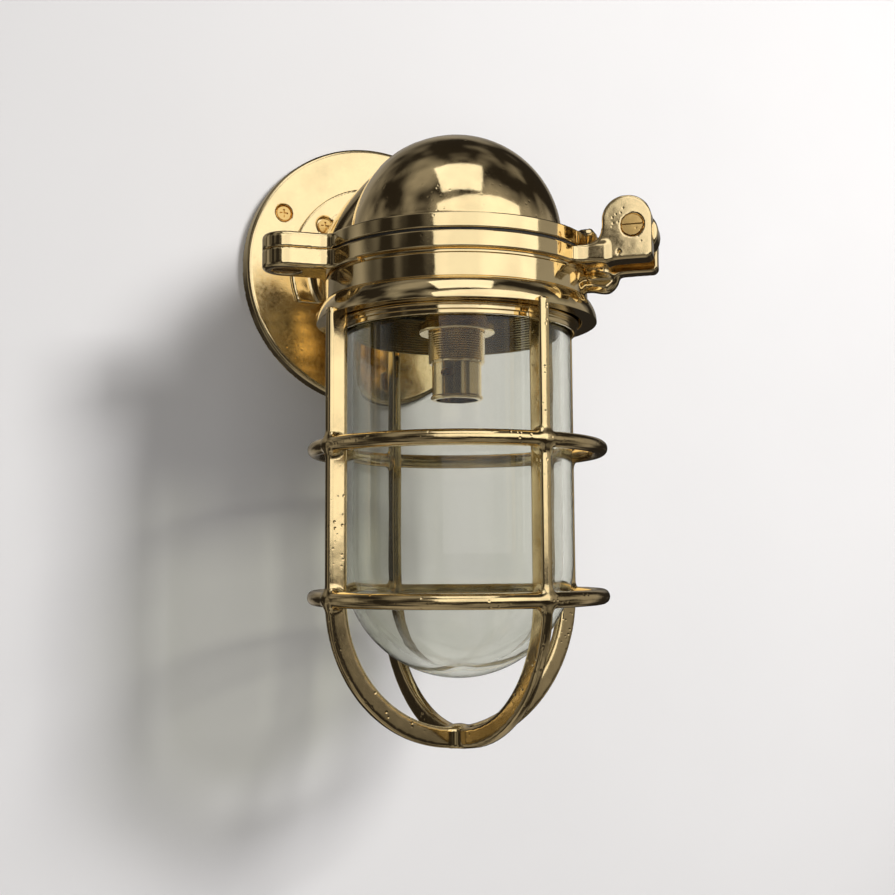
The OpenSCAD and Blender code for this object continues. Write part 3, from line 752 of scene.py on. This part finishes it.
def wall_material():
    """Pale painted wall, darkened slowly away from the middle by painted shade that stands in for the light
    falling off; it lets the camera see in from behind.
    """
    n = Nodes("wall")
    where = n.add("ShaderNodeTexCoord")
    soft = n.noise(where, 2.5, 4.0)
    grain = n.noise(where, 220.0, 4.0)
    colour = n.ramp(soft, "Fac", [(0.3, (0.80, 0.795, 0.80, 1)), (0.7, (0.84, 0.835, 0.84, 1))])
    centre = n.add("ShaderNodeVectorMath", _operation="LENGTH")
    n.link(where, "Object", centre, 0)
    # Painted shade: the wall's colour is dimmed with distance from the middle, in place of light falling
    # off across the wall and floor.
    painted_light_falloff = n.remap(centre, "Value", 0.55, 1.6, 1.0, 0.3)
    shade = n.add("ShaderNodeVectorMath", _operation="SCALE")
    n.link(colour, "Color", shade, 0)
    n.link(painted_light_falloff, "Result", shade, "Scale")
    b = n.add("ShaderNodeBump", Strength=0.12, Distance=0.0003)
    n.link(grain, "Fac", b, "Height")
    shader = n.add("ShaderNodeBsdfPrincipled", Roughness=0.85)
    n.link(shade, "Vector", shader, "Base Color")
    n.link(b, "Normal", shader, "Normal")
    hidden = n.add("ShaderNodeBsdfTransparent")
    side = n.add("ShaderNodeNewGeometry")
    mix = n.add("ShaderNodeMixShader")
    n.link(side, "Backfacing", mix, 0)
    n.link(shader, "BSDF", mix, 1)
    n.link(hidden, "BSDF", mix, 2)
    out = n.add("ShaderNodeOutputMaterial")
    n.link(mix, "Shader", out, "Surface")
    return n.material


def stage_plane(name, points, material):
    """A plain backdrop that the brass doesn't mirror."""
    obj = add_mesh(name, np.array(points), [(0, 1, 2, 3)], None, material)
    obj.visible_glossy = False


# In metres. The wall lies a hair behind the plate's back face, and the floor is far below the lantern
WALL_Y, WALL_SIDE, WALL_BOTTOM, WALL_TOP = 0.0003, 3, -1.6, 2.2
FLOOR_Z, FLOOR_FRONT = -1.2, -4
WALL = wall_material()
stage_plane(
    "wall",
    [(x, WALL_Y, z) for x, z in (
        (-WALL_SIDE, WALL_BOTTOM), (WALL_SIDE, WALL_BOTTOM), (WALL_SIDE, WALL_TOP), (-WALL_SIDE, WALL_TOP)
    )],
    WALL,
)
stage_plane(
    "floor",
    [(x, y, FLOOR_Z) for x, y in (
        (-WALL_SIDE, FLOOR_FRONT), (WALL_SIDE, FLOOR_FRONT), (WALL_SIDE, WALL_Y), (-WALL_SIDE, WALL_Y)
    )],
    WALL,
)


def area_light(name, place, target, size, power, colour, mirrored):
    """A rectangular light. A mirrored one only shows in the brass, and the others only light the scene."""
    data = bpy.data.lights.new(name, "AREA")
    data.shape = "RECTANGLE"
    data.size, data.size_y = size
    data.energy = power
    data.color = colour
    obj = bpy.data.objects.new(name, data)
    obj.location = place
    obj.visible_glossy = mirrored
    obj.visible_diffuse = not mirrored
    obj.visible_transmission = False
    obj.rotation_euler = (Vector(target) - Vector(place)).to_track_quat("-Z", "Y").to_euler()
    bpy.context.scene.collection.objects.link(obj)


area_light(
    "key", (0.80, -1.55, 0.62), (0, -0.05, -0.3), (0.5, 0.5),
    31.0, (1.0, 0.985, 0.975), mirrored=False,
)
area_light("fill", (-0.5, -1.9, -0.5), (-0.1, 0, -0.3), (1.4, 1.2), 8.5, (1.0, 0.99, 0.98), mirrored=False)
area_light(
    "front_panel", (0.05, -1.65, 0.40), (0, -0.1, -0.1), (2.9, 1.2),
    10.5, (1.0, 0.985, 0.96), mirrored=True,
)
area_light(
    "top_panel", (-0.22, -0.85, 1.2), (0, -0.13, 0.0), (0.95, 0.85),
    2.8, (1.0, 1.0, 1.0), mirrored=True,
)


def room():
    """Soft dark and grey patches all round, for the brass and glass to mirror."""
    world = bpy.data.worlds.new("room")
    world.use_nodes = True
    nodes, links = world.node_tree.nodes, world.node_tree.links
    nodes.clear()
    light = nodes.new("ShaderNodeBackground")
    out = nodes.new("ShaderNodeOutputWorld")
    where = nodes.new("ShaderNodeTexCoord")
    noise = nodes.new("ShaderNodeTexNoise")
    noise.inputs["Scale"].default_value = 1.7
    noise.inputs["Detail"].default_value = 2.0
    ramp = nodes.new("ShaderNodeValToRGB")
    dark, pale = ramp.color_ramp.elements
    dark.position, dark.color = 0.42, (0.03, 0.026, 0.022, 1)
    pale.position, pale.color = 0.62, (0.42, 0.40, 0.37, 1)
    links.new(where.outputs["Generated"], noise.inputs["Vector"])
    links.new(noise.outputs["Fac"], ramp.inputs["Fac"])
    links.new(ramp.outputs["Color"], light.inputs["Color"])
    links.new(light.outputs["Background"], out.inputs["Surface"])
    light.inputs["Strength"].default_value = 0.7
    bpy.context.scene.world = world


room()
bpy.context.scene.view_settings.view_transform = "Standard"

camera()
